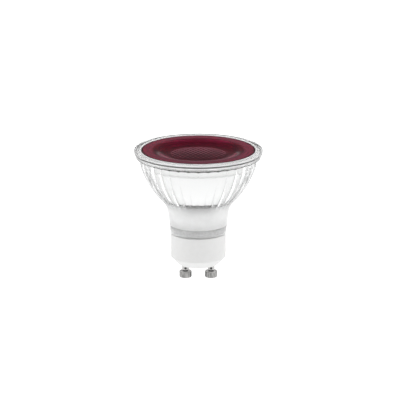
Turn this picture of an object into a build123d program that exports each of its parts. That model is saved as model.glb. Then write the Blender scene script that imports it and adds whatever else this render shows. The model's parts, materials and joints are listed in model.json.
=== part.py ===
from build123d import *
from math import copysign, cos, radians, sin, sqrt
import os

# Twist-lock LED spotlight lamp: fluted glass body, red lens, white base and two contact pins.
# The origin is midway between the pins, level with the undersides of their feet. +Z runs along
# the lamp to its lens, and X runs through both pins. Sizes are in millimetres.

os.makedirs("parts", exist_ok=True)

# Contact pins
pin_spacing = 10.0
foot_radius = 2.4
foot_height = 2.65
foot_edge = 0.3
shank_radius = 1.35
shank_length = 3.0
rivet_radius = 2.0
rivet_height = 0.7
pin_clearance = 0.05

# White base
base_radius = 10.75
base_height = 12.65
base_chamfer = 3.0
base_edge = 1.2
shoulder_edge = 0.3
end_wall = 2.0
spigot_wall = 1.0
rail_depth = 1.4
rail_wall = 1.0
rail_height = 4.0
rail_root = 0.4
rail_gap = 0.3

# Glass reflector
neck_height = 7.7
neck_step = 0.2
neck_flare = 0.85
neck_wall = 1.2
sweep_height = 5.7
sweep_width = 2.7
sweep_rows = 2
flank_height = 14.1
flank_rows = 3
glass_wall = 1.9
flute_count = 36
flute_depth = 0.45
flute_run_out = 0.02
collar_height = 3.4
cone_height = 1.5
cone_width = 1.2
rim_radius = 25.0
rim_height = 2.2
rim_edge = 0.5
rim_wall = 2.15

# Adhesive between the spigot and the glass neck, and the white filling above it
bond_height = 3.2
bond_thickness = 0.45
bond_film = 0.03

# Red lens
lens_border = 1.5
lens_edge = 0.2
lens_clearance = 0.1
lens_ledge = 1.3
dish_border = 3.65
dish_depth = 1.9
dish_wall = 7.5
disc_thickness = 2.0
disc_dome = 0.5
barrel_depth = 1.2
barrel_clearance = 0.25

# Heat spreader cup and the lid under it
cup_sheet = 0.6
cup_gap = 0.3
cup_rise = 1.5
cup_pocket_gap = 0.1
cup_lip_drop = 0.05
lid_thickness = 0.8
lid_boss_radius = 6.0
lid_boss_height = 3.2
plug_depth = 1.0
plug_clearance = 0.1

# LED board and its chips
pad_thickness = 0.3
led_board_thickness = 1.2
led_board_gap = 0.3
led_count = 6
led_margin = 1.2
led_length = 3.5
led_width = 2.8
led_height = 0.8
led_well_wall = 0.35
led_well_depth = 0.45
encapsulant_gap = 0.02

# Driver board
board_thickness = 1.0
board_clearance = 0.1
board_side_gap = 0.5
board_top_gap = 0.5
board_stop = 0.8

# Leads
lead_radius = 0.45
lead_clearance = 0.08
lead_bore_depth = 3.5
lead_solder = 0.02
led_lead_proud = 0.6
bush_wall = 0.4
bush_clearance = 0.12

# Driver components, stacked on both faces of the board above the rails
component_gap = 0.2
stack_gap = 0.5
capacitor_radius = 2.5
capacitor_length = 9.0
crimp_width = 0.8
crimp_depth = 0.25
crimp_rise = 1.2
fuse_edge_gap = 2.9
fuse_length = 5.0
fuse_height = 2.0
choke_width = 5.2
choke_length = 6.0
choke_depth = 2.2
choke_leg = 1.0
winding_gap = 0.1
winding_overhang = 0.5
package_lift = 0.1
package_leg_width = 0.45
package_leg_length = 0.8
package_leg_thickness = 0.25
bridge_edge_gap = 1.2
bridge_length = 3.6
bridge_height = 2.2
bridge_leg_count = 2
bridge_leg_pitch = 2.5
film_edge_gap = 3.1
film_length = 5.0
film_height = 2.4
chip_edge_gap = 2.7
chip_length = 3.9
chip_height = 1.5
chip_leg_count = 4
chip_leg_pitch = 1.27
sense_length = 3.2
sense_width = 1.6
sense_height = 0.6
sense_count = 2
sense_pitch = 2.2

# Levels along the lamp, from the pins' feet to the top of the rim
base_end = foot_height + shank_length
base_floor = base_end + end_wall
rivet_top = base_floor + rivet_height
rail_foot = rivet_top + rail_gap
board_foot = rail_foot + board_stop
rail_top = rail_foot + rail_height
components_foot = rail_top + stack_gap
shoulder = base_end + base_height
bond_top = shoulder + bond_height
neck_end = shoulder + neck_height
sweep_top = neck_end + sweep_height
ring_line = sweep_top + flank_height
rim_under = ring_line + collar_height
rim_top = rim_under + rim_height
lens_seat = rim_top - lens_border
glass_seat = lens_seat - cup_sheet
cup_base = sweep_top + cup_rise
cup_floor = cup_base + cup_sheet
pad_top = cup_floor + pad_thickness
led_board_top = pad_top + led_board_thickness
lid_top = cup_base - lid_boss_height
spigot_top = lid_top - lid_thickness
board_top = spigot_top - plug_depth - board_top_gap

# Radii from the base up into the glass neck
neck_foot_radius = base_radius + neck_step
neck_top_radius = neck_foot_radius + neck_flare
neck_bore_foot = neck_foot_radius - neck_wall
neck_bore_top = neck_top_radius - glass_wall
spigot_radius = neck_bore_foot - bond_thickness
bore_radius = spigot_radius - spigot_wall
sweep_radius = neck_top_radius + sweep_width

# Radii from the rim inwards
pocket_radius = rim_radius - rim_wall
cup_lip_radius = pocket_radius - cup_pocket_gap
lens_radius = cup_lip_radius - cup_sheet - lens_clearance
dish_radius = lens_radius - dish_border
disc_radius = dish_radius - dish_wall
bowl_top_radius = lens_radius - lens_ledge
flank_top_radius = bowl_top_radius + glass_wall
cup_top_radius = bowl_top_radius - cup_gap
barrel_radius = cup_top_radius - cup_sheet - barrel_clearance

# Leads and the bush that they pass through
lead_bore_radius = lead_radius + lead_clearance
led_lead_x = lead_radius + lead_clearance
bush_bore_radius = led_lead_x + lead_bore_radius
bush_radius = bush_bore_radius + bush_wall
bush_hole_radius = bush_radius + bush_clearance

# Driver board: its front face lies against the leads, and its edges stand in the rails
board_front = lead_radius + lead_solder
board_back = board_front + board_thickness
board_middle = board_front + board_thickness / 2
board_half_width = bore_radius - board_side_gap

# Widths of the components that reach out to a gap from the board's edge
front_width = board_half_width - capacitor_radius - component_gap
back_width = board_half_width - component_gap
fuse_width = front_width - fuse_edge_gap
bridge_width = front_width - bridge_edge_gap
film_width = back_width - film_edge_gap
chip_width = back_width - chip_edge_gap


def upright_plane(centre):
    """Plane for a profile that is turned about the vertical line through this centre."""
    return Plane(origin=centre, x_dir=(1, 0, 0), z_dir=(0, -1, 0))


# Outline of the glass: the neck's taper runs into a hollow sweep, and that into the bulging flank
neck_direction = (neck_flare, neck_height)
sweep_foot = (neck_top_radius, neck_end)
sweep_end = (sweep_radius, sweep_top)
flank_end = (flank_top_radius, ring_line)
sweep_curve = TangentArc(sweep_foot, sweep_end, tangent=neck_direction, mode=Mode.PRIVATE)
flank_curve = TangentArc(sweep_end, flank_end, tangent=sweep_curve % 1, mode=Mode.PRIVATE)
flank_centre = flank_curve.arc_center


def sweep_points(inset):
    """Points up the hollow sweep above the neck, moved inwards by an inset."""
    points = [sweep_curve @ (row / sweep_rows) for row in range(sweep_rows + 1)]
    return [(point.X - inset, point.Y) for point in points]


def flank_radius(level):
    """Outer radius of the bulging flank at a level."""
    reach = sqrt(flank_curve.radius**2 - (level - flank_centre.Y) ** 2)
    return flank_centre.X + copysign(reach, flank_top_radius - flank_centre.X)


def flank_points(inset, foot):
    """Points up the flank from a foot level to the ring line, moved inwards by an inset."""
    levels = [foot + (ring_line - foot) * row / flank_rows for row in range(flank_rows + 1)]
    return [(flank_radius(level) - inset, level) for level in levels]


def reeded_section(crest_radius, level, share=1):
    """Face of convex reeds that meet in valleys. Share is how much of their depth they have here."""
    valley_radius = crest_radius * (1 - share * flute_depth / flank_top_radius)
    step = radians(360 / flute_count)
    with BuildSketch(Plane.XY.offset(level)) as section:
        with BuildLine():
            for reed in range(flute_count):
                first, middle, last = reed * step, (reed + 0.5) * step, (reed + 1) * step
                ThreePointArc(
                    (valley_radius * cos(first), valley_radius * sin(first)),
                    (crest_radius * cos(middle), crest_radius * sin(middle)),
                    (valley_radius * cos(last), valley_radius * sin(last)),
                )
        make_face()
    return section.sketch


# Glass reflector: neck, sweep and flank with flutes that run out towards the neck, fluted collar and
# rim, then the hollow inside
with BuildPart() as glass_reflector:
    reeds = [reeded_section(neck_foot_radius, shoulder, flute_run_out)]
    for row, (radius, level) in enumerate(sweep_points(0)):
        share = flute_run_out + (1 - flute_run_out) * (row / sweep_rows) ** 2
        reeds.append(reeded_section(radius, level, share))
    for radius, level in flank_points(0, sweep_top)[1:]:
        reeds.append(reeded_section(radius, level))
    loft(reeds, ruled=True)
    extrude(reeded_section(flank_top_radius, ring_line), amount=collar_height)
    with BuildSketch(Plane.XZ) as rim_profile:
        cone_foot = flank_top_radius - flute_depth
        with BuildLine():
            Polyline(
                (0, rim_under - cone_height),
                (cone_foot, rim_under - cone_height),
                (cone_foot + cone_width, rim_under),
                (rim_radius - rim_edge, rim_under),
                (rim_radius, rim_under + rim_edge),
                (rim_radius, rim_top - rim_edge),
                (rim_radius - rim_edge, rim_top),
                (0, rim_top),
                close=True,
            )
        make_face()
    revolve(axis=Axis.Z)
    with BuildSketch(Plane.XZ) as hollow_profile:
        with BuildLine():
            Polyline(
                (0, shoulder),
                (neck_bore_foot, shoulder),
                *sweep_points(glass_wall),
                *flank_points(glass_wall, sweep_top)[1:],
                (bowl_top_radius, glass_seat),
                (pocket_radius, glass_seat),
                (pocket_radius, rim_top),
                (0, rim_top),
                close=True,
            )
        make_face()
    revolve(axis=Axis.Z, mode=Mode.SUBTRACT)
glass_reflector.part.label = "glass_reflector"
export_step(glass_reflector.part, "parts/glass_reflector.step")

# Red lens: flat border, dish with an S-shaped wall, domed disc, and a barrel that enters the cup
with BuildPart() as red_lens:
    disc_top = rim_top - dish_depth
    disc_under = disc_top - disc_thickness
    wall_middle = ((disc_radius + dish_radius) / 2, rim_top - dish_depth / 2)
    with BuildSketch(Plane.XZ) as lens_profile:
        with BuildLine():
            TangentArc((0, disc_top + disc_dome), (disc_radius, disc_top), tangent=(1, 0))
            lower_wall = TangentArc((disc_radius, disc_top), wall_middle, tangent=(1, 0))
            TangentArc(wall_middle, (dish_radius, rim_top), tangent=lower_wall % 1)
            Polyline(
                (dish_radius, rim_top),
                (lens_radius - lens_edge, rim_top),
                (lens_radius, rim_top - lens_edge),
                (lens_radius, lens_seat),
                (barrel_radius, lens_seat),
                (barrel_radius, lens_seat - barrel_depth),
                (disc_radius, disc_under),
                (0, disc_under),
                (0, disc_top + disc_dome),
            )
        make_face()
    revolve(axis=Axis.Z)
red_lens.part.label = "red_lens"
export_step(red_lens.part, "parts/red_lens.step")

# Heat spreader cup: one drawn sheet that lines the bowl, hangs on the glass seat and rings the lens
with BuildPart() as heat_spreader_cup:
    lip_top = rim_top - cup_lip_drop
    cup_inset = glass_wall + cup_gap
    with BuildSketch(Plane.XZ) as cup_profile:
        with BuildLine():
            Polyline(
                (0, cup_floor),
                (0, cup_base),
                *flank_points(cup_inset, cup_base),
                (cup_top_radius, glass_seat),
                (cup_lip_radius, glass_seat),
                (cup_lip_radius, lip_top),
                (cup_lip_radius - cup_sheet, lip_top),
                (cup_lip_radius - cup_sheet, lens_seat),
                (cup_top_radius - cup_sheet, lens_seat),
                *reversed(flank_points(cup_inset + cup_sheet, cup_floor)),
                close=True,
            )
        make_face()
    revolve(axis=Axis.Z)
    with BuildSketch(Plane.XY.offset(cup_base)) as bush_hole:
        Circle(bush_hole_radius)
    extrude(amount=cup_sheet, mode=Mode.SUBTRACT)
heat_spreader_cup.part.label = "heat_spreader_cup"
export_step(heat_spreader_cup.part, "parts/heat_spreader_cup.step")

# Thermal pad and LED board: discs on the cup's floor, with a hole for the lid's bush
led_board_radius = flank_radius(cup_floor) - cup_inset - cup_sheet - led_board_gap
led_ring_radius = led_board_radius - led_margin - led_length / 2
with BuildPart() as thermal_pad:
    with BuildSketch(Plane.XY.offset(cup_floor)):
        Circle(led_board_radius)
        Circle(bush_hole_radius, mode=Mode.SUBTRACT)
    extrude(amount=pad_thickness)
thermal_pad.part.label = "thermal_pad"
export_step(thermal_pad.part, "parts/thermal_pad.step")

with BuildPart() as led_board:
    with BuildSketch(Plane.XY.offset(pad_top)):
        Circle(led_board_radius)
        Circle(bush_hole_radius, mode=Mode.SUBTRACT)
    extrude(amount=led_board_thickness)
led_board.part.label = "led_board"
export_step(led_board.part, "parts/led_board.step")

# LED packages: a ring of frames, each with a well
with BuildPart() as led_packages:
    with BuildSketch(Plane.XY.offset(led_board_top)):
        with PolarLocations(led_ring_radius, led_count):
            Rectangle(led_length, led_width)
    extrude(amount=led_height)
    with BuildSketch(Plane.XY.offset(led_board_top + led_height)):
        with PolarLocations(led_ring_radius, led_count):
            Rectangle(led_length - 2 * led_well_wall, led_width - 2 * led_well_wall)
    extrude(amount=-led_well_depth, mode=Mode.SUBTRACT)
led_packages.part.label = "led_packages"
export_step(led_packages.part, "parts/led_packages.step")

# Encapsulant in each well, level with the frame
with BuildPart() as led_encapsulants:
    fill_length = led_length - 2 * (led_well_wall + encapsulant_gap)
    fill_width = led_width - 2 * (led_well_wall + encapsulant_gap)
    with BuildSketch(Plane.XY.offset(led_board_top + led_height - led_well_depth)):
        with PolarLocations(led_ring_radius, led_count):
            Rectangle(fill_length, fill_width)
    extrude(amount=led_well_depth)
led_encapsulants.part.label = "led_encapsulants"
export_step(led_encapsulants.part, "parts/led_encapsulants.step")

# Insulating lid: disc on the spigot with a plug in its bore, a boss that carries the cup, and a bush
# for both LED leads
with BuildPart() as insulating_lid:
    with BuildSketch(Plane.XY.offset(spigot_top)):
        Circle(spigot_radius)
    extrude(amount=lid_thickness)
    with BuildSketch(Plane.XY.offset(spigot_top)):
        Circle(bore_radius - plug_clearance)
    extrude(amount=-plug_depth)
    with BuildSketch(Plane.XY.offset(lid_top)):
        Circle(lid_boss_radius)
    extrude(amount=lid_boss_height)
    with BuildSketch(Plane.XY.offset(cup_base)):
        Circle(bush_radius)
    extrude(amount=led_board_top - cup_base)
    with BuildSketch(Plane.XY.offset(spigot_top - plug_depth)):
        Circle(bush_bore_radius)
    extrude(amount=led_board_top - spigot_top + plug_depth, mode=Mode.SUBTRACT)
insulating_lid.part.label = "insulating_lid"
export_step(insulating_lid.part, "parts/insulating_lid.step")

# White base: chamfered cup with a spigot, pin holes in its end wall and rails for the driver board
with BuildPart() as base_shell:
    with BuildSketch(Plane.XZ) as base_profile:
        with BuildLine():
            FilletPolyline(
                (base_radius - base_chamfer, base_end),
                (base_radius, base_end + base_chamfer),
                (base_radius, shoulder - shoulder_edge),
                radius=base_edge,
            )
            Polyline(
                (base_radius, shoulder - shoulder_edge),
                (base_radius - shoulder_edge, shoulder),
                (spigot_radius, shoulder),
                (spigot_radius, spigot_top),
                (bore_radius, spigot_top),
                (bore_radius, base_floor),
                (0, base_floor),
                (0, base_end),
                (base_radius - base_chamfer, base_end),
            )
        make_face()
    revolve(axis=Axis.Z)
    slot_width = board_thickness + 2 * board_clearance
    with BuildSketch(Plane.XY.offset(rail_foot)) as rails:
        with Locations((0, board_middle)):
            Rectangle(2 * (bore_radius + rail_root), slot_width + 2 * rail_wall)
            Rectangle(2 * (bore_radius - rail_depth), slot_width + 2 * rail_wall, mode=Mode.SUBTRACT)
    extrude(amount=rail_height)
    with BuildSketch(Plane.XY.offset(board_foot)) as board_slot:
        with Locations((0, board_middle)):
            Rectangle(2 * (board_half_width + board_clearance), slot_width)
    extrude(amount=rail_height, mode=Mode.SUBTRACT)
    with BuildSketch(Plane.XY.offset(base_end)) as pin_holes:
        with Locations((-pin_spacing / 2, 0), (pin_spacing / 2, 0)):
            Circle(shank_radius + pin_clearance)
    extrude(amount=end_wall, mode=Mode.SUBTRACT)
base_shell.part.label = "base_shell"
export_step(base_shell.part, "parts/base_shell.step")

# Bonding ring: adhesive that fills the foot of the gap between the spigot and the tapered neck bore
bore_taper = (neck_bore_top - neck_bore_foot) / neck_height
bond_top_radius = neck_bore_foot + bore_taper * bond_height - bond_film
with BuildPart() as bonding_ring:
    with BuildSketch(Plane.XZ) as bond_profile:
        with BuildLine():
            Polyline(
                (spigot_radius + bond_film, shoulder),
                (neck_bore_foot - bond_film, shoulder),
                (bond_top_radius, bond_top),
                (spigot_radius + bond_film, bond_top),
                close=True,
            )
        make_face()
    revolve(axis=Axis.Z)
bonding_ring.part.label = "bonding_ring"
export_step(bonding_ring.part, "parts/bonding_ring.step")

# Neck filler: white filling from the bonding ring up into the sweep, round the spigot and the lid
with BuildPart() as neck_filler:
    with BuildSketch(Plane.XZ) as filler_profile:
        with BuildLine():
            Polyline(
                (spigot_radius + bond_film, bond_top),
                (bond_top_radius, bond_top),
                *sweep_points(glass_wall + bond_film),
                (spigot_radius + bond_film, sweep_top),
                close=True,
            )
        make_face()
    revolve(axis=Axis.Z)
neck_filler.part.label = "neck_filler"
export_step(neck_filler.part, "parts/neck_filler.step")

# Contact pins: wide foot, shank through the end wall, rivet head inside and a blind bore for the lead
lead_bore_floor = rivet_top - lead_bore_depth
for side, name in ((-1, "left"), (1, "right")):
    pin_centre = (side * pin_spacing / 2, 0, 0)
    with BuildPart() as contact_pin:
        with BuildSketch(upright_plane(pin_centre)) as pin_profile:
            with BuildLine():
                Polyline(
                    (0, 0),
                    (foot_radius - foot_edge, 0),
                    (foot_radius, foot_edge),
                    (foot_radius, foot_height),
                    (shank_radius, foot_height),
                    (shank_radius, base_floor),
                    (rivet_radius, base_floor),
                    (rivet_radius, rivet_top),
                    (lead_bore_radius, rivet_top),
                    (lead_bore_radius, lead_bore_floor),
                    (0, lead_bore_floor),
                    close=True,
                )
            make_face()
        revolve(axis=Axis(pin_centre, (0, 0, 1)))
    contact_pin.part.label = f"contact_pin_{name}"
    export_step(contact_pin.part, f"parts/contact_pin_{name}.step")

# Mains leads: straight up out of each pin, along the driver board's front face
for side, name in ((-1, "left"), (1, "right")):
    with BuildPart() as mains_lead:
        with BuildSketch(Plane.XY.offset(lead_bore_floor)):
            with Locations((side * pin_spacing / 2, 0)):
                Circle(lead_radius)
        extrude(amount=rail_top - lead_bore_floor)
    mains_lead.part.label = f"mains_lead_{name}"
    export_step(mains_lead.part, f"parts/mains_lead_{name}.step")

# LED leads: from the board's front face, above the capacitor, up through the lid's bush
led_lead_foot = components_foot + capacitor_length + stack_gap
for side, name in ((1, "positive"), (-1, "negative")):
    with BuildPart() as led_lead:
        with BuildSketch(Plane.XY.offset(led_lead_foot)):
            with Locations((side * led_lead_x, 0)):
                Circle(lead_radius)
        extrude(amount=led_board_top + led_lead_proud - led_lead_foot)
    led_lead.part.label = f"led_lead_{name}"
    export_step(led_lead.part, f"parts/led_lead_{name}.step")

# Driver board: stands on the rails' stops
with BuildPart() as driver_board:
    with BuildSketch(Plane.XY.offset(board_foot)):
        with Locations((0, board_middle)):
            Rectangle(2 * board_half_width, board_thickness)
    extrude(amount=board_top - board_foot)
driver_board.part.label = "driver_board"
export_step(driver_board.part, "parts/driver_board.step")

# Bulk capacitor: upright can with a crimp groove, in the middle of the board's front face
capacitor_centre = (0, board_front - component_gap - capacitor_radius, components_foot)
with BuildPart() as bulk_capacitor:
    with BuildSketch(upright_plane(capacitor_centre)) as can_profile:
        with BuildLine():
            Polyline(
                (0, 0),
                (capacitor_radius, 0),
                (capacitor_radius, crimp_rise),
                (capacitor_radius - crimp_depth, crimp_rise + crimp_width / 2),
                (capacitor_radius, crimp_rise + crimp_width),
                (capacitor_radius, capacitor_length),
                (0, capacitor_length),
                close=True,
            )
        make_face()
    revolve(axis=Axis(capacitor_centre, (0, 0, 1)))
bulk_capacitor.part.label = "bulk_capacitor"
export_step(bulk_capacitor.part, "parts/bulk_capacitor.step")

# Fuse: block on the front face, left of the capacitor
with BuildPart() as fuse_block:
    fuse_x = -(capacitor_radius + component_gap + fuse_width / 2)
    with BuildSketch(Plane.XZ.offset(-board_front)):
        with Locations((fuse_x, components_foot + fuse_length / 2)):
            Rectangle(fuse_width, fuse_length)
    extrude(amount=fuse_height)
fuse_block.part.label = "fuse_block"
export_step(fuse_block.part, "parts/fuse_block.step")

# Choke: ferrite frame with a middle leg, on the back face, and its winding round that leg
choke_x = -(component_gap + choke_width / 2)
choke_middle = components_foot + choke_length / 2
window_length = choke_length - 2 * choke_leg
window_width = (choke_width - 3 * choke_leg) / 2
window_offset = (window_width + choke_leg) / 2
with BuildPart() as choke_core:
    with BuildSketch(Plane.XZ.offset(-board_back - winding_overhang)):
        with Locations((choke_x, choke_middle)):
            Rectangle(choke_width, choke_length)
        with Locations((choke_x - window_offset, choke_middle), (choke_x + window_offset, choke_middle)):
            Rectangle(window_width, window_length, mode=Mode.SUBTRACT)
    extrude(amount=-choke_depth)
choke_core.part.label = "choke_core"
export_step(choke_core.part, "parts/choke_core.step")

with BuildPart() as choke_winding:
    winding_width = choke_leg + 2 * (window_width - winding_gap)
    winding_depth = choke_depth + 2 * winding_overhang
    winding_centre = (choke_x, board_back + winding_depth / 2)
    with BuildSketch(Plane.XY.offset(components_foot + choke_leg + winding_gap)):
        with Locations(winding_centre):
            Rectangle(winding_width, winding_depth)
            Rectangle(choke_leg + 2 * winding_gap, choke_depth + 2 * winding_gap, mode=Mode.SUBTRACT)
    extrude(amount=window_length - 2 * winding_gap)
choke_winding.part.label = "choke_winding"
export_step(choke_winding.part, "parts/choke_winding.step")


def package(face, outward, centre, width, length, height, leg_count, leg_pitch):
    """Moulded package on one face of the driver board, with a row of legs above and below it."""
    leg_row = length / 2 + package_leg_length / 2
    with BuildPart() as moulding:
        with BuildSketch(Plane.XZ.offset(-face + outward * package_lift)):
            with Locations(centre):
                Rectangle(width, length)
        extrude(amount=outward * (height - package_lift))
        with BuildSketch(Plane.XZ.offset(-face)):
            with Locations((centre[0], centre[1] - leg_row), (centre[0], centre[1] + leg_row)):
                with GridLocations(leg_pitch, 1, leg_count, 1):
                    Rectangle(package_leg_width, package_leg_length)
        extrude(amount=outward * package_leg_thickness)
    return moulding


# Bridge rectifier on the front face, right of the capacitor
bridge_place = (
    capacitor_radius + component_gap + bridge_width / 2,
    components_foot + package_leg_length + bridge_length / 2,
)
bridge_rectifier = package(
    board_front,
    1,
    bridge_place,
    bridge_width,
    bridge_length,
    bridge_height,
    bridge_leg_count,
    bridge_leg_pitch,
)
bridge_rectifier.part.label = "bridge_rectifier"
export_step(bridge_rectifier.part, "parts/bridge_rectifier.step")

# Film capacitor flat on the back face, right of the choke
with BuildPart() as film_capacitor:
    with BuildSketch(Plane.XZ.offset(-board_back)):
        with Locations((component_gap + film_width / 2, components_foot + film_length / 2)):
            Rectangle(film_width, film_length)
    extrude(amount=-film_height)
film_capacitor.part.label = "film_capacitor"
export_step(film_capacitor.part, "parts/film_capacitor.step")

# Driver chip on the back face, above the film capacitor
chip_place = (
    component_gap + chip_width / 2,
    components_foot + film_length + stack_gap + package_leg_length + chip_length / 2,
)
driver_chip = package(
    board_back, -1, chip_place, chip_width, chip_length, chip_height, chip_leg_count, chip_leg_pitch
)
driver_chip.part.label = "driver_chip"
export_step(driver_chip.part, "parts/driver_chip.step")

# Sense resistors: chip resistors one above the other on the back face, over the choke
with BuildPart() as sense_resistors:
    sense_foot = components_foot + choke_length + stack_gap
    sense_middle = sense_foot + ((sense_count - 1) * sense_pitch + sense_width) / 2
    with BuildSketch(Plane.XZ.offset(-board_back)):
        with Locations((choke_x, sense_middle)):
            with GridLocations(1, sense_pitch, 1, sense_count):
                Rectangle(sense_length, sense_width)
    extrude(amount=-sense_height)
sense_resistors.part.label = "sense_resistors"
export_step(sense_resistors.part, "parts/sense_resistors.step")
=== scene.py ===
import json
from collections import namedtuple
from math import atan2, cos, pi, radians, sin, sqrt, tan, tau

import bmesh
import bpy
from mathutils import Matrix, Vector


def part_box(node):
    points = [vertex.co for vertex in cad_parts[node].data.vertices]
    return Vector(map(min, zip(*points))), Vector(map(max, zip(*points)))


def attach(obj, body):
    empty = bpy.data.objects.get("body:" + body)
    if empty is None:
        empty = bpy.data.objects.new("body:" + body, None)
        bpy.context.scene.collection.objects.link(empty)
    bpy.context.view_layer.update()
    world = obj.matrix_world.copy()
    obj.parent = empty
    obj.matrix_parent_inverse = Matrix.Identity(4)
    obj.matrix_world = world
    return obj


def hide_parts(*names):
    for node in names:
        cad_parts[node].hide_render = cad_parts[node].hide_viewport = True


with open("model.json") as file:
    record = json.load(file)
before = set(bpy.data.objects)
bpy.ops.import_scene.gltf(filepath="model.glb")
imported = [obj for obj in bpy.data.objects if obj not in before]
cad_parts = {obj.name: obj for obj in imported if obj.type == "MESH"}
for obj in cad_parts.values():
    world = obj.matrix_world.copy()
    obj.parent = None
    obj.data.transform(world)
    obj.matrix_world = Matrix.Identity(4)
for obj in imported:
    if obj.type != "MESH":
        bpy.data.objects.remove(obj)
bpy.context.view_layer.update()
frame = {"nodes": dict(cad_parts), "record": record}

# Sizes are in millimetres, and mm turns them into Blender's metres.
mm = 0.001


def node_box(node):
    """Lowest and highest corner of a CAD node, in millimetres."""
    low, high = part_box(node)
    return Vector(low) / mm, Vector(high) / mm


glass_low, glass_high = node_box("glass_reflector")
lens_low, lens_high = node_box("red_lens")
cup_low, cup_high = node_box("heat_spreader_cup")
pin_low, pin_high = node_box("contact_pin_right")
base_low, _ = node_box("base_shell")

# Glass body
shoulder = glass_low.z
rim_top = glass_high.z
rim_radius = glass_high.x
neck_foot_radius = 10.95
neck_bore_radius = 9.75
neck_end = 26.0
neck_top_radius = 11.8
sweep_top = 31.7
sweep_radius = 14.5
ring_line = 45.8
flank_top_radius = 22.65
glass_wall = 1.9
rim_under = 49.2
cone_foot = 47.7
cone_foot_radius = 22.2
cone_top_radius = 23.4
cone_slope = (cone_top_radius - cone_foot_radius) / (rim_under - cone_foot)
glass_seat = 49.3
pocket_radius = 22.85
flutes = 36
flute_depth = 0.45
ring_groove = 0.15
groove_half = 0.2
groove_lip = 0.045
rim_round = 0.2
rim_taper = 0.65
rim_taper_top = 50.6
rim_foot = 48.55
glass_round = 0.25
pocket_round = 0.1
steps_per_flute = 16
neck_rows = 4
sweep_rows = 12
flank_rows = 24
collar_rows = 18

# Bright cup inside the glass
cup_sheet = 0.6
cup_gap = 0.3
cup_base = cup_low.z
cup_hole_radius = 1.58
cup_lip_radius = cup_high.x
cup_lip = cup_high.z
cup_round = 0.2
seat_gap = 0.05
cup_steps = 192

# Adhesive and filling in the neck. Wetting is how far they, and the cup's lip, go into the glass,
# so that no air shows between.
bond_top = 21.5
ring_bore_radius = 9.33
wetting = 0.03
ring_steps = 192

# Red lens
lens_radius = lens_high.x
lens_seat = 49.9
lens_under = lens_low.z
dish_radius = 18.4
dish_depth = 1.9
disc_radius = 10.9
disc_dome = 0.5
barrel_radius = 19.6
barrel_foot = 48.7
lens_round = 0.08
lenslet_pitch = 2.0
lenslet_height = 0.1
lens_steps = 360
disc_rows = 92
fade_rows = 3
wall_rows = 24
under_rows = 8

# Contact pins
pin_x = (pin_low.x + pin_high.x) / 2
foot_radius = (pin_high.x - pin_low.x) / 2
foot_height = 2.65
shank_radius = 1.35
base_wall = 2.0
base_floor = base_low.z + base_wall
rivet_radius = 2.0
rivet_top = pin_high.z
lead_bore_radius = 0.53
lead_bore_depth = 3.5
lead_bore_floor = rivet_top - lead_bore_depth
foot_round = 0.45
pin_round = 0.12
crimp_level = 3.8
crimp_radius = 0.62
crimp_depth = 0.32
crimp_skin = 0.9
pin_steps = 96
shank_rows = 40

# Spans over which a painted shade, painted light or finish comes in, each from none to full.
# In the glass, for its painted shade: levels and radii, or distances off a line
flute_levels = (27.0, 33.0)
rim_face_levels = (51.2, 51.35)
rim_edge_line = 50.45
rim_edge_width = (0.36, 0.26)
rim_edge_radii = (24.5, 24.6)
rim_foot_levels = (49.15, 49.0)
rim_foot_radii = (24.1, 24.2)
groove_shade_width = (0.3, 0.1)
facet_width = (0.06, 0.02)
facet_levels = (cone_foot - 0.05, cone_foot + 0.05)
facet_radii = (flank_top_radius + 0.02, flank_top_radius - 0.03)

# In the cup and the lens, for the painted white lip, painted shade and painted sheen
lip_levels = (49.1, 49.3)
bowl_levels = (49.3, 49.1)
border_radii = (dish_radius - 1.2, dish_radius + 0.2)
edge_radii = (lens_radius - 0.7, lens_radius - 0.3)
disc_radii = (disc_radius + 0.3, disc_radius - 0.1)
brow_inner_radii = (disc_radius + 0.1, disc_radius + 0.5)
brow_outer_radii = (dish_radius, dish_radius - 0.4)
hollow_squares = (0.08 * lenslet_pitch**2, 0.25 * lenslet_pitch**2)

# On the pins, for painted shade in the dents, at the root and on the inner side, and painted light on the
# shank
dent_reach = (0.6, 0.35)
dent_front = (0.6, 0.8)
root_radii = (2.1, 1.8)
root_width = (1.2, 0.9)
root_height = (0.5, 0.3)
inner_side = (-1.5, -2.2)
inner_levels = (2.4, 2.2)
pale_levels = (2.4, 2.6)

# In the noise of moulded and drawn finishes
mottle_span = (0.3, 0.7)
mark_span = (0.35, 0.65)

# In how far a surface is turned away from the view, between 0 and 1
flute_turn = (0.34, 0.8)
lenslet_turn = (0.7, 0.92)
brow_turn = (0.8, 0.92)

# How strong some of these are at their full, between 0 and 1
smooth_shade = 0.1
hollow_loss = 0.9
border_sheen = 0.15
brow_sheen = 0.5
inner_shade = 0.8
shank_paleness = 0.45

# How much finer the grain of a moulded finish is than its mottle
grain_ratio = 5

# Scale of drawing marks along a pin or wire, against their scale across it
mark_stretch = 0.15

# Camera, stage and surroundings
camera_elevation = radians(15.3)
camera_distance = 1500.0
camera_sensor = 36.0
frame_width = 155.6
camera_target = Vector((0.66, 0.0, 31.1))
floor_radius = 4000.0
floor_sides = 96
floor_shade = 0.12
floor_glow = 1.14
back_start = 0.22
back_sharpness = 8.0
front_glow = 0.36
overhead_loss = 0.1
side_glow = 0.1
high_side_glow = 6.5
high_side_rise = (0.42, 0.6)
back_glow = 0.09
horizon_glow = 0.2
horizon_rise = (0.2, 0.05)


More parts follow.
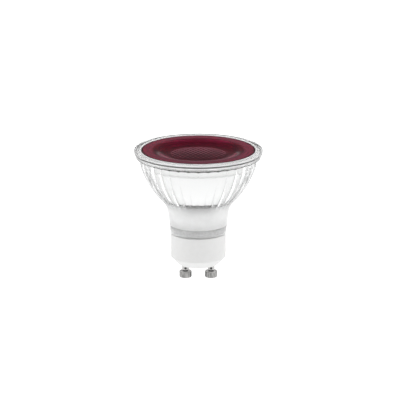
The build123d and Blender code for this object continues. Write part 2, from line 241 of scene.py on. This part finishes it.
class Field:
    """An output of a node. Sums and products of fields add Math nodes to the same tree."""

    def __init__(self, graph, socket):
        self.graph = graph
        self.socket = socket

    def math(self, operation, *others):
        return self.graph.math(operation, self, *others)

    def __add__(self, other):
        return self.math("ADD", other)

    def __radd__(self, other):
        return self.math("ADD", other)

    def __sub__(self, other):
        return self.math("SUBTRACT", other)

    def __rsub__(self, other):
        return self.graph.math("SUBTRACT", other, self)

    def __mul__(self, other):
        return self.math("MULTIPLY", other)

    def __rmul__(self, other):
        return self.math("MULTIPLY", other)

    def __truediv__(self, other):
        return self.math("DIVIDE", other)

    def __abs__(self):
        return self.math("ABSOLUTE")


class Graph:
    """A node tree, with one method that adds any node."""

    def __init__(self, tree):
        self.tree = tree

    def node(self, kind, settings=None, inputs=None, output=0):
        made = self.tree.nodes.new(kind)
        for name, value in (settings or {}).items():
            setattr(made, name, value)
        for key, value in (inputs or {}).items():
            if isinstance(value, Field):
                self.tree.links.new(value.socket, made.inputs[key])
            else:
                made.inputs[key].default_value = value
        return Field(self, made.outputs[output])

    def math(self, operation, *values):
        return self.node("ShaderNodeMath", {"operation": operation}, dict(enumerate(values)))


def components(vector):
    """The three components of a vector field."""
    return [vector.graph.node("ShaderNodeSeparateXYZ", {}, {0: vector}, output=axis) for axis in "XYZ"]


# Profiles: points with a radius and a level, in order round the section of a turned piece.
# flute is how much of the flutes a point has, least the radius that their valleys stop at,
# and lenslet how much of the small lenses it has.
Point = namedtuple("Point", "radius level flute least lenslet", defaults=(0.0, 0.0, 0.0))

# The support beside a rounded corner stands a share of the rounding away, up to a longest distance.
support_share = 0.6
longest_support = 0.2


def rounded_corner(before, corner, after, rounding, steps=5):
    """Points of the arc that rounds a corner between two straight runs, with a support at each end."""
    corner = Vector(corner)
    inward = (Vector(before) - corner).normalized()
    outward = (Vector(after) - corner).normalized()
    half = inward.angle(outward) / 2
    reach = rounding / tan(half)
    centre = corner + (inward + outward).normalized() * (rounding / sin(half))
    start = corner + inward * reach
    swing = pi - 2 * half
    if inward.x * outward.y - inward.y * outward.x > 0:
        swing = -swing
    turns = [Matrix.Rotation(swing * step / steps, 2) for step in range(steps + 1)]
    arc = [centre + turn @ (start - centre) for turn in turns]
    support = min(support_share * rounding, longest_support)
    return [start + inward * support, *arc, corner + outward * (reach + support)]


def turned_outline(corners):
    """Closed outline from corners of radius, level and rounding. A rounding of nothing keeps the corner."""
    points = []
    for number, (radius, level, rounding) in enumerate(corners):
        before = corners[number - 1][:2]
        after = corners[(number + 1) % len(corners)][:2]
        if rounding:
            points += [Point(p.x, p.y) for p in rounded_corner(before, (radius, level), after, rounding)]
        else:
            points.append(Point(radius, level))
    return points


def tangent_arc(start, end, heading, steps):
    """Points of the arc that leaves a start with a heading and comes to an end, and its heading there."""
    start, end = Vector(start), Vector(end)
    chord = end - start
    half = atan2(chord.y, chord.x) - heading
    diameter = chord.length / sin(half)
    points = []
    for step in range(steps + 1):
        turn = half * step / steps
        points.append(start + diameter * sin(turn) * Vector((cos(heading + turn), sin(heading + turn))))
    return points, heading + 2 * half


def glass_curve(inset):
    """Hollow sweep above the neck and bulging flank above it, both moved inwards by an inset."""
    heading = atan2(neck_end - shoulder, neck_top_radius - neck_foot_radius)
    foot = (neck_top_radius - inset, neck_end)
    middle = (sweep_radius - inset, sweep_top)
    sweep, heading = tangent_arc(foot, middle, heading, sweep_rows)
    flank, _ = tangent_arc(middle, (flank_top_radius - inset, ring_line), heading, flank_rows)
    return sweep, flank


def above(points, level):
    """The part of a rising run of points that lies above a level, from that level on."""
    upper = [p for p in points if p.y > level]
    last = points[len(points) - len(upper) - 1]
    start = last.lerp(upper[0], (level - last.y) / (upper[0].y - last.y))
    return [start, *upper]


def off_honeycomb(x, y, pitch):
    """Squared distance from the nearest centre of a honeycomb's cells, as a field."""

    def from_lattice(shift):
        across = x / pitch - shift
        along = y / (pitch * sqrt(3)) - shift
        across = (across - across.math("ROUND")) * pitch
        along = (along - along.math("ROUND")) * (pitch * sqrt(3))
        return across * across + along * along

    # The centres form two rectangular lattices, half a cell apart.
    return from_lattice(0.0).math("MINIMUM", from_lattice(0.5))


def turned_tree():
    """Geometry Nodes that turn a profile into a closed piece, with its flutes and small lenses."""
    tree = bpy.data.node_groups.new("Turned piece", "GeometryNodeTree")
    sockets = (
        ("Profile", "NodeSocketGeometry"),
        ("Steps Around", "NodeSocketInt"),
        ("Flutes", "NodeSocketInt"),
        ("Flute Depth", "NodeSocketFloat"),
        ("Lenslet Pitch", "NodeSocketFloat"),
        ("Lenslet Height", "NodeSocketFloat"),
        ("Finish", "NodeSocketMaterial"),
    )
    for name, kind in sockets:
        tree.interface.new_socket(name, in_out="INPUT", socket_type=kind)
    tree.interface.new_socket("Piece", in_out="OUTPUT", socket_type="NodeSocketGeometry")
    graph = Graph(tree)
    entry = tree.nodes.new("NodeGroupInput")
    given = {name: Field(graph, entry.outputs[name]) for name, _ in sockets}

    # A grid with one column for each step round and one row for each point of the profile.
    # The nudge keeps rounding errors from putting a column's first point in the column before.
    nudge = 0.5 / 4096
    profile = given["Profile"]
    steps = given["Steps Around"]
    rows = graph.node("GeometryNodeAttributeDomainSize", {"component": "MESH"}, {"Geometry": profile})
    grid = graph.node("GeometryNodeMeshGrid", {}, {"Vertices X": steps + 1, "Vertices Y": rows})
    index = graph.node("GeometryNodeInputIndex")
    column = (index / rows + nudge).math("FLOOR")
    row = index - column * rows

    def of_profile(value, kind):
        settings = {"data_type": kind, "domain": "POINT"}
        inputs = {"Geometry": profile, "Value": value, "Index": row}
        return graph.node("GeometryNodeSampleIndex", settings, inputs)

    def named(name):
        value = graph.node("GeometryNodeInputNamedAttribute", {"data_type": "FLOAT"}, {"Name": name})
        return of_profile(value, "FLOAT")

    radius, _, level = components(of_profile(graph.node("GeometryNodeInputPosition"), "FLOAT_VECTOR"))

    # Convex reeds that meet in valleys, and no deeper than the least radius
    turn = column / steps
    reed = abs((turn * given["Flutes"]).math("FRACT") * 2 - 1)
    valley = reed * reed * reed
    fluted = radius * (1 - given["Flute Depth"] * valley * named("flute"))
    fluted = fluted.math("MAXIMUM", named("least"))
    x = fluted * (turn * tau).math("COSINE")
    y = fluted * (turn * tau).math("SINE")

    # Small domes on a honeycomb. They come down to nothing at the corners of their cells, where the
    # squared distance is a third of the pitch's square.
    pitch = given["Lenslet Pitch"]
    dome = given["Lenslet Height"] * (1 - off_honeycomb(x, y, pitch) * 3 / (pitch * pitch))
    z = level + dome * named("lenslet")

    weld = 0.002 * mm
    spot = graph.node("ShaderNodeCombineXYZ", {}, {"X": x, "Y": y, "Z": z})
    shell = graph.node("GeometryNodeSetPosition", {}, {"Geometry": grid, "Position": spot})
    shell = graph.node("GeometryNodeMergeByDistance", {}, {"Geometry": shell, "Distance": weld})
    shell = graph.node("GeometryNodeSetShadeSmooth", {}, {"Geometry": shell, "Shade Smooth": True})
    shell = graph.node("GeometryNodeRealizeInstances", {}, {"Geometry": shell})
    shell = graph.node("GeometryNodeSetMaterial", {}, {"Geometry": shell, "Material": given["Finish"]})
    leave = tree.nodes.new("NodeGroupOutput")
    tree.links.new(shell.socket, leave.inputs["Piece"])
    return tree


turned = turned_tree()


def point_outwards(mesh):
    """Turns every face of a closed mesh outwards."""
    work = bmesh.new()
    work.from_mesh(mesh)
    bmesh.ops.recalc_face_normals(work, faces=work.faces)
    work.to_mesh(mesh)
    work.free()


def turned_piece(name, profile, finish, steps, closed=True, **sizes):
    """Mesh object turned from a profile about the axis. An open profile starts and ends on the axis."""
    points = [*profile, profile[0]] if closed else profile
    mesh = bpy.data.meshes.new(name)
    mesh.from_pydata([(p.radius * mm, 0, p.level * mm) for p in points], [], [])
    for field, scale in (("flute", 1.0), ("least", mm), ("lenslet", 1.0)):
        values = mesh.attributes.new(field, "FLOAT", "POINT")
        values.data.foreach_set("value", [getattr(p, field) * scale for p in points])
    piece = bpy.data.objects.new(name, mesh)
    bpy.context.scene.collection.objects.link(piece)
    modifier = piece.modifiers.new("Turn", "NODES")
    modifier.node_group = turned
    given = {"Steps Around": steps, "Lenslet Pitch": mm, "Finish": finish, **sizes}
    for item in turned.interface.items_tree:
        if item.in_out == "INPUT" and item.name in given:
            modifier[item.identifier] = given[item.name]
    depsgraph = bpy.context.evaluated_depsgraph_get()
    made = bpy.data.meshes.new_from_object(piece.evaluated_get(depsgraph), depsgraph=depsgraph)
    piece.modifiers.clear()
    piece.data = made
    point_outwards(made)
    return piece


def finished(piece, slot, *nodes):
    """Fixes a piece to the lamp, where it stands for CAD nodes, and hides those nodes. The slot is not
    used.
    """
    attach(piece, "root")
    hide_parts(*nodes)


# Materials: each has a Principled shader, and what varies follows Object coordinates.
def finish_graph(name):
    """A new material, its graph and its Principled shader."""
    material = bpy.data.materials.new(name)
    material.use_nodes = True
    shader = material.node_tree.nodes["Principled BSDF"]
    return material, Graph(material.node_tree), shader


def wire(shader, **fields):
    """Links fields to a shader's sockets, or sets a plain value."""
    for name, value in fields.items():
        socket = shader.inputs[name.replace("_", " ")]
        if isinstance(value, Field):
            value.graph.tree.links.new(value.socket, socket)
        else:
            socket.default_value = value


def grey(value):
    """A colour with no hue."""
    return (value, value, value)


def ease(value, start, end):
    """Smooth step of a field from 0 at a start to 1 at an end."""
    span = {"Value": value, "From Min": start, "From Max": end}
    return value.graph.node("ShaderNodeMapRange", {"interpolation_type": "SMOOTHSTEP"}, span)


def blend(factor, first, second):
    """Colour between two colours, each plain or a field."""
    first, second = (c if isinstance(c, Field) else (*c, 1.0) for c in (first, second))
    inputs = {0: factor, 6: first, 7: second}
    return factor.graph.node("ShaderNodeMix", {"data_type": "RGBA"}, inputs, output=2)


def bump(height, depth):
    """Normal from a height between 0 and 1 and a depth in millimetres."""
    inputs = {"Height": height, "Distance": depth * mm, "Strength": 1.0}
    return height.graph.node("ShaderNodeBump", {}, inputs)


def noise(graph, scale):
    """Noise between 0 and 1 with a scale in waves per millimetre."""
    where = graph.node("ShaderNodeTexCoord", output="Object")
    return graph.node("ShaderNodeTexNoise", {}, {"Vector": where, "Scale": scale / mm, "Detail": 3.0})


def place(graph):
    """Coordinates across and along, distance from the lamp's axis, and level, all in millimetres."""
    where = graph.node("ShaderNodeTexCoord", output="Object")
    x, y, z = (part / mm for part in components(where))
    return x, y, (x * x + y * y).math("SQRT"), z


def turned_away(graph):
    """How far a surface is turned away from the view, between 0 and 1."""
    return graph.node("ShaderNodeLayerWeight", {}, {"Blend": 0.5}, output="Facing")


def pressed_glass():
    """Clear glass with painted shade: darker where its flutes are seen edge-on, with painted dark lines
    round its rim.
    """
    material, graph, shader = finish_graph("Pressed glass")
    ripple = noise(graph, 0.35)
    _, _, radius, level = place(graph)
    fluted = ease(level, *flute_levels) - ease(level, *rim_face_levels)
    # Painted shade: the glass darkens where it is seen edge-on, most on the flutes.
    edge_on_shade = ease(turned_away(graph), *flute_turn) * (smooth_shade + (1 - smooth_shade) * fluted)
    # Painted shade: a grey line along the ring groove.
    groove_shade = ease(abs(level - ring_line), *groove_shade_width)
    # Painted shade: dark lines round the rim's outer edge and round its foot.
    edge = ease(radius, *rim_edge_radii) * ease(abs(level - rim_edge_line), *rim_edge_width)
    foot = ease(radius, *rim_foot_radii) * ease(level, *rim_foot_levels)
    # Painted shade: dark on the small cone faces where the flutes' valleys end under the rim.
    off_cone = radius - (cone_foot_radius + (level - cone_foot) * cone_slope)
    facet_shade = ease(off_cone, *facet_width) * ease(level, *facet_levels) * ease(radius, *facet_radii)
    tint = blend(edge_on_shade, (0.992, 0.996, 0.994), grey(0.15))
    tint = blend(groove_shade, tint, grey(0.72))
    tint = blend(facet_shade, tint, grey(0.1))
    tint = blend(edge.math("MAXIMUM", foot), tint, grey(0.02))
    wire(
        shader, Base_Color=tint, Transmission_Weight=1.0, IOR=1.48,
        Roughness=ripple * 0.03 + 0.01, Normal=bump(ripple, 0.02),
    )
    return material


def tinted_lens():
    """Red lens with painted shade in its dish, at its edge and in the hollows between its small lenses, and
    a painted pale sheen.
    """
    material, graph, shader = finish_graph("Tinted lens")
    haze = noise(graph, 0.8)
    x, y, radius, _ = place(graph)
    away = turned_away(graph)
    disc = ease(radius, *disc_radii)
    border = ease(radius, *border_radii)
    edge = ease(radius, *edge_radii)
    # Painted shade in the hollows between the small lenses
    hollow = ease(off_honeycomb(x, y, lenslet_pitch), *hollow_squares)
    # Painted sheen: a pale shader mixed in where the small lenses and the dish's brow are seen at a flat
    # angle, and faintly over the border.
    cells = ease(away, *lenslet_turn) * disc * (1 - hollow_loss * hollow)
    brow = ease(away, *brow_turn) * ease(radius, *brow_inner_radii) * ease(radius, *brow_outer_radii)
    sheen = cells + border_sheen * (border - edge) + brow_sheen * brow
    # Painted shade: the dish darker than the border, its hollows darker still, and a dark edge round the
    # lens.
    dish = blend(hollow * disc, (0.27, 0.008, 0.05), (0.13, 0.004, 0.025))
    flat = blend(edge, (0.54, 0.033, 0.135), (0.16, 0.014, 0.045))
    wire(
        shader, Base_Color=blend(border, dish, flat), Transmission_Weight=0.85, IOR=1.5,
        Roughness=haze * 0.05 + 0.06, Normal=bump(haze, 0.004),
    )
    clear = Field(graph, shader.outputs[0])
    inputs = {"Base Color": (0.46, 0.15, 0.21, 1.0), "Roughness": 0.5}
    pale = graph.node("ShaderNodeBsdfPrincipled", {}, inputs)
    both = graph.node("ShaderNodeMixShader", {}, {0: sheen, 1: clear, 2: pale})
    graph.tree.links.new(both.socket, graph.tree.nodes["Material Output"].inputs["Surface"])
    return material


def satin_aluminium():
    """Drawn aluminium, with painted light on the lip round the lens: near white and not metal."""
    material, graph, shader = finish_graph("Satin aluminium")
    drawn = noise(graph, 1.5)
    _, _, _, level = place(graph)
    bowl = blend(drawn, grey(0.9), grey(0.94))
    # Painted light: the lip is near white and not metal.
    wire(
        shader, Base_Color=blend(ease(level, *lip_levels), bowl, grey(0.99)),
        Metallic=0.25 * ease(level, *bowl_levels),
        Roughness=drawn * 0.1 + 0.25, Normal=bump(drawn, 0.004),
    )
    return material


# Painted shading comes in between two levels. Across, it is whole in the middle third of its width and
# fades out to a half width at both sides.
PaintedShading = namedtuple("PaintedShading", "colour start full half_width")


def moulded(name, dark, light, roughness, grain=1.2, depth=0.006, painted_shading=None):
    """Moulded or cast finish with a faint mottle and grain, and painted shading where one is given."""
    material, graph, shader = finish_graph(name)
    fine = noise(graph, grain * grain_ratio)
    colour = blend(ease(noise(graph, grain), *mottle_span), dark, light)
    # Painted shading blended into the colour by level and across
    if painted_shading:
        across, _, _, level = place(graph)
        middle = ease(abs(across), painted_shading.half_width, painted_shading.half_width / 3)
        colour = blend(ease(level, painted_shading.start, painted_shading.full) * middle, colour, painted_shading.colour)
    wire(shader, Base_Color=colour, Roughness=fine * 0.15 + roughness, Normal=bump(fine, depth))
    return material


def crimp_shade(graph, colour):
    """Colour of a pin: painted light on the shank, painted shade in the dents, a painted shadow at the
    root, and a foot painted dark towards the axis.
    """
    x, y, _, z = place(graph)
    off = abs(x) - pin_x
    rise = z - crimp_level
    # Painted shade in the crimp dents, and a painted shadow round the shank's root
    dent = ease((off * off + rise * rise).math("SQRT"), *dent_reach) * ease(abs(y), *dent_front)
    root = ease((off * off + y * y).math("SQRT"), *root_radii) * ease(abs(off), *root_width)
    root = root * ease(abs(z - foot_height), *root_height)
    # Painted shade on the side of each foot that faces the other pin
    inner = ease(off, *inner_side) * ease(z, *inner_levels) * inner_shade
    # Painted light on the shank and the top of the foot
    colour = blend(ease(z, *pale_levels) * shank_paleness, colour, (0.8, 0.795, 0.785))
    return blend(dent.math("MAXIMUM", root).math("MAXIMUM", inner), colour, grey(0.03))


def plated(name, dark, light, roughness, metallic=1.0, crimped=False):
    """Plated or bare metal with faint drawing marks along it."""
    material, graph, shader = finish_graph(name)
    where = graph.node("ShaderNodeTexCoord", output="Object")
    along = graph.node("ShaderNodeMapping", {}, {"Vector": where, "Scale": (1.0, 1.0, mark_stretch)})
    marks = graph.node("ShaderNodeTexNoise", {}, {"Vector": along, "Scale": 3.0 / mm, "Detail": 4.0})
    colour = blend(ease(marks, *mark_span), dark, light)
    if crimped:
        colour = crimp_shade(graph, colour)
    wire(
        shader, Base_Color=colour, Metallic=metallic, Roughness=marks * 0.15 + roughness,
        Normal=bump(marks, 0.006),
    )
    return material


def wound_copper():
    """Enamelled wire in layers round the choke's leg."""
    material, graph, shader = finish_graph("Wound copper")
    where = graph.node("ShaderNodeTexCoord", output="Object")
    turns = graph.node("ShaderNodeTexWave", {"bands_direction": "Z"}, {"Vector": where, "Scale": 0.8 / mm})
    wire(
        shader, Base_Color=blend(turns, (0.25, 0.08, 0.02), (0.7, 0.3, 0.12)), Metallic=0.8,
        Roughness=turns * -0.15 + 0.45, Normal=bump(turns, 0.08),
    )
    return material


# Painted shadow in the filling's upper middle, front and back, and painted light at the adhesive's foot
filling_shadow = PaintedShading(grey(0.5), start=26.5, full=33.0, half_width=9.0)
adhesive_painted_light = PaintedShading(grey(0.9), start=19.8, full=18.2, half_width=50.0)
finishes = {
    "clear_glass": pressed_glass(),
    "red_lens": tinted_lens(),
    "bright_aluminium": satin_aluminium(),
    "grey_silicone": moulded("Grey silicone", (0.3, 0.31, 0.33), (0.36, 0.37, 0.39), 0.6),
    "white_board": moulded("White board mask", (0.78, 0.78, 0.75), (0.85, 0.85, 0.82), 0.3),
    "white_frame": moulded("White chip frame", (0.8, 0.79, 0.74), (0.86, 0.85, 0.8), 0.4),
    "amber_resin": moulded("Amber resin", (0.7, 0.38, 0.05), (0.8, 0.48, 0.08), 0.15),
    "dark_lid": moulded("Grey lid", (0.27, 0.27, 0.275), (0.32, 0.32, 0.325), 0.5),
    "white_base": moulded("White base", (0.7, 0.7, 0.695), (0.72, 0.72, 0.715), 0.35, grain=0.5),
    "white_filling": moulded(
        "White filling", grey(0.93), grey(1.0), 0.5, grain=0.3, painted_shading=filling_shadow
    ),
    "grey_adhesive": moulded(
        "Grey adhesive", grey(0.52), grey(0.62), 0.55, grain=0.9, depth=0.03, painted_shading=adhesive_painted_light
    ),
    "nickel_pins": plated(
        "Nickel plate", (0.2, 0.197, 0.193), (0.46, 0.455, 0.445), 0.3, metallic=0.35, crimped=True
    ),
    "tinned_wire": plated("Tinned wire", (0.6, 0.6, 0.58), (0.72, 0.71, 0.68), 0.25),
    "green_board": moulded("Green board mask", (0.01, 0.07, 0.03), (0.02, 0.11, 0.05), 0.35),
    "capacitor_can": moulded("Can sleeve", (0.012, 0.015, 0.025), (0.02, 0.025, 0.04), 0.3),
    "fuse_body": moulded("Fuse body", (0.16, 0.07, 0.03), (0.2, 0.09, 0.04), 0.4),
    "ferrite": moulded("Ferrite", (0.02, 0.02, 0.022), (0.04, 0.04, 0.042), 0.55, depth=0.02),
    "copper_winding": wound_copper(),
    "black_package": moulded("Black package", (0.008, 0.008, 0.009), (0.014, 0.014, 0.015), 0.5),
    "film_case": moulded("Film case", (0.3, 0.03, 0.02), (0.38, 0.05, 0.03), 0.25),
    "resistor_body": moulded("Resistor body", (0.01, 0.01, 0.012), (0.018, 0.018, 0.02), 0.3),
}
for entry in frame["record"]["subparts"]:
    node = frame["nodes"][entry["node"]]
    node.data.materials.clear()
    node.data.materials.append(finishes[entry["material_slot"]])


def glass_body():
    """Pressed glass: smooth neck, fluted flank and collar, rounded rim, and a smooth bowl inside."""
    outside = [Point(neck_foot_radius, shoulder - wetting)]
    for row in range(1, neck_rows):
        share = row / neck_rows
        radius = neck_foot_radius + (neck_top_radius - neck_foot_radius) * share
        outside.append(Point(radius, shoulder + (neck_end - shoulder) * share))
    sweep, flank = glass_curve(0.0)
    outside += [Point(p.x, p.y, flute=(row / sweep_rows) ** 2) for row, p in enumerate(sweep)]
    outside += [Point(p.x, p.y, flute=1.0) for p in flank[1:-1]]
    collar_foot = ring_line + groove_half
    outside += [
        Point(flank_top_radius - groove_lip, ring_line - groove_half, flute=1.0),
        Point(flank_top_radius - ring_groove, ring_line, flute=1.0),
        Point(flank_top_radius, collar_foot, flute=1.0),
    ]
    for row in range(1, collar_rows + 1):
        level = collar_foot + (rim_under - collar_foot) * row / collar_rows
        least = cone_foot_radius + (level - cone_foot) * cone_slope
        outside.append(Point(flank_top_radius, level, flute=1.0, least=least))
    rim = turned_outline(
        (
            (cone_top_radius, rim_under, 0.0),
            (rim_radius - rim_taper, rim_foot, rim_round),
            (rim_radius, rim_taper_top, rim_round),
            (rim_radius, rim_top, rim_round),
            (pocket_radius, rim_top, glass_round),
            (pocket_radius, glass_seat, pocket_round),
            (flank_top_radius - glass_wall, glass_seat, glass_round),
            (flank_top_radius - glass_wall, ring_line, 0.0),
        )
    )[1:-1]
    sweep, flank = glass_curve(glass_wall)
    inside = [Point(p.x, p.y) for p in reversed(sweep + flank[1:])]
    inside.append(Point(neck_bore_radius, shoulder - wetting))
    piece = turned_piece(
        "glass_body", [*outside, *rim, *inside], finishes["clear_glass"], flutes * steps_per_flute,
        **{"Flutes": flutes, "Flute Depth": flute_depth / flank_top_radius},
    )
    finished(piece, "clear_glass", "glass_reflector")


def bright_cup():
    """Drawn aluminium cup that lines the bowl and rings the lens."""
    cup_top_radius = flank_top_radius - glass_wall - cup_gap
    _, flank = glass_curve(glass_wall + cup_gap)
    outer = [Point(p.x, p.y) for p in above(flank, cup_base)]
    lip = turned_outline(
        (
            (cup_top_radius, ring_line, 0.0),
            (cup_top_radius, glass_seat + seat_gap, cup_round),
            (pocket_radius + wetting, glass_seat + seat_gap, cup_round),
            (pocket_radius + wetting, cup_lip, cup_round),
            (cup_lip_radius - cup_sheet, cup_lip, cup_round),
            (cup_lip_radius - cup_sheet, lens_seat - seat_gap, cup_round),
            (cup_top_radius - cup_sheet, lens_seat - seat_gap, cup_round),
            (cup_top_radius - cup_sheet, ring_line, 0.0),
        )
    )[1:-1]
    _, flank = glass_curve(glass_wall + cup_gap + cup_sheet)
    inner = [Point(p.x, p.y) for p in reversed(above(flank, cup_base + cup_sheet))]
    hole = [Point(cup_hole_radius, cup_base + cup_sheet), Point(cup_hole_radius, cup_base)]
    profile = [*outer, *lip, *inner, *hole]
    piece = turned_piece("bright_cup", profile, finishes["bright_aluminium"], cup_steps)
    finished(piece, "bright_aluminium", "heat_spreader_cup")


def dished_lens():
    """Red lens: disc of small domes, S-shaped wall, flat border and a barrel below."""
    disc_top = rim_top - dish_depth
    disc = []
    for row in range(disc_rows + 1):
        share = row / disc_rows
        fade = min(1.0, (disc_rows - row) / fade_rows)
        disc.append(Point(disc_radius * share, disc_top + disc_dome * (1 - share**2), lenslet=fade))
    wall = dish_radius - disc_radius
    arc_radius = (wall**2 + dish_depth**2) / (4 * dish_depth)
    slope = []
    for row in range(1, wall_rows + 1):
        run = wall * row / wall_rows
        rise = arc_radius - sqrt(arc_radius**2 - min(run, wall - run) ** 2)
        slope.append(Point(disc_radius + run, disc_top + rise if run < wall / 2 else rim_top - rise))
    edge = turned_outline(
        (
            (dish_radius, rim_top, 0.0),
            (lens_radius, rim_top, lens_round),
            (lens_radius, lens_seat, lens_round),
            (barrel_radius, lens_seat, lens_round),
            (barrel_radius, barrel_foot, lens_round),
            (disc_radius, lens_under, 0.0),
        )
    )[1:]
    under = [Point(disc_radius * row / under_rows, lens_under) for row in reversed(range(under_rows))]
    piece = turned_piece(
        "dished_lens", [*disc, *slope, *edge, *under], finishes["red_lens"], lens_steps, closed=False,
        **{"Lenslet Pitch": lenslet_pitch * mm, "Lenslet Height": lenslet_height * mm},
    )
    finished(piece, "red_lens", "red_lens")


def contact_pin(side, name):
    """Nickel pin: rounded foot, shank with a crimp dent in front and behind, rivet head and lead bore."""
    corners = (
        (0.0, 0.0, 0.0),
        (foot_radius, 0.0, foot_round),
        (foot_radius, foot_height, foot_round),
        (shank_radius, foot_height, pin_round),
        (shank_radius, base_floor, pin_round),
        (rivet_radius, base_floor, pin_round),
        (rivet_radius, rivet_top, pin_round),
        (lead_bore_radius, rivet_top, pin_round),
        (lead_bore_radius, lead_bore_floor, 0.0),
        (0.0, lead_bore_floor, 0.0),
    )
    profile = []
    for point in turned_outline(corners):
        if profile and profile[-1].radius == point.radius == shank_radius:
            foot = profile[-1].level
            rise = (point.level - foot) / shank_rows
            profile += [Point(shank_radius, foot + rise * row) for row in range(1, shank_rows)]
        profile.append(point)
    piece = turned_piece(f"pin_{name}", profile, finishes["nickel_pins"], pin_steps, closed=False)
    for vertex in piece.data.vertices:
        x, y, z = vertex.co / mm
        reach = sqrt(x**2 + (z - crimp_level) ** 2) / crimp_radius
        # Only the shank's skin is dented, and nothing inside it.
        on_skin = abs(y) > crimp_skin * sqrt(max(shank_radius**2 - x**2, 0))
        if reach < 1 and on_skin:
            dent = crimp_depth * (0.5 + 0.5 * cos(pi * reach))
            vertex.co.y -= dent * mm * (1 if y > 0 else -1)
        vertex.co.x += side * pin_x * mm
    finished(piece, "nickel_pins", f"contact_pin_{name}")


def neck_rings():
    """Grey adhesive and white filling between the spigot and the neck. Both wet the glass."""
    sweep, _ = glass_curve(glass_wall - wetting)
    bore = (neck_bore_radius + wetting, shoulder)
    taper = (sweep[0].x - bore[0]) / (sweep[0].y - bore[1])
    bond_edge = (bore[0] + taper * (bond_top - shoulder), bond_top)
    bond = (bore, bond_edge, (ring_bore_radius, bond_top), (ring_bore_radius, shoulder))
    filler = [bond_edge, *sweep, (ring_bore_radius, sweep_top), (ring_bore_radius, bond_top)]
    for name, outline, slot, node in (
        ("bond_band", bond, "grey_adhesive", "bonding_ring"),
        ("neck_filling", filler, "white_filling", "neck_filler"),
    ):
        piece = turned_piece(name, [Point(*p) for p in outline], finishes[slot], ring_steps)
        finished(piece, slot, node)


neck_rings()
glass_body()
bright_cup()
dished_lens()
contact_pin(-1, "left")
contact_pin(1, "right")


def studio_floor():
    """Pale lit floor, as wide as the view needs."""
    bpy.ops.mesh.primitive_circle_add(vertices=floor_sides, radius=floor_radius * mm, fill_type="NGON")
    floor = bpy.context.object
    floor.name = "studio_floor"
    material, _, shader = finish_graph("Pale floor")
    wire(
        shader, Base_Color=(*grey(floor_shade), 1.0), Roughness=0.9,
        Emission_Color=(1.0, 1.0, 1.0, 1.0), Emission_Strength=floor_glow,
    )
    floor.data.materials.append(material)


def studio_world():
    """Soft surroundings: brightest high at both sides, dimmer in front and overhead, dim behind."""
    world = bpy.data.worlds.new("Studio")
    bpy.context.scene.world = world
    world.use_nodes = True
    graph = Graph(world.node_tree)
    across, along, up = components(graph.node("ShaderNodeTexCoord", output="Generated"))
    behind = ((along - back_start) * back_sharpness).math("MAXIMUM", 0.0).math("MINIMUM", 1.0)
    sides = across * across * (side_glow + high_side_glow * ease(up, *high_side_rise))
    ahead = front_glow + sides - up * up * up * overhead_loss
    back_wall = back_glow + horizon_glow * ease(up, *horizon_rise)
    glow = ahead + behind * (back_wall - ahead)
    background = world.node_tree.nodes["Background"]
    background.inputs["Color"].default_value = (1.0, 1.0, 1.0, 1.0)
    world.node_tree.links.new(glow.socket, background.inputs["Strength"])


def studio_camera():
    """Long lens at the photograph's angle."""
    data = bpy.data.cameras.new("Camera")
    camera = bpy.data.objects.new("Camera", data)
    bpy.context.scene.collection.objects.link(camera)
    data.sensor_width = camera_sensor
    data.lens = camera_sensor * camera_distance / frame_width
    back = Vector((0.0, -cos(camera_elevation), sin(camera_elevation)))
    camera.location = (camera_target + back * camera_distance) * mm
    camera.rotation_euler = (-back).to_track_quat("-Z", "Y").to_euler()
    data.clip_end = 2 * floor_radius * mm
    bpy.context.scene.camera = camera


studio_floor()
studio_world()
studio_camera()
bpy.context.scene.view_settings.view_transform = "Standard"

# Long light paths, and no blur on them, so that what stands behind the glass is lit through it
paths = bpy.context.scene.cycles
paths.blur_glossy = 0.0
paths.max_bounces = 32
paths.glossy_bounces = 24
paths.transmission_bounces = 24
paths.diffuse_bounces = 8
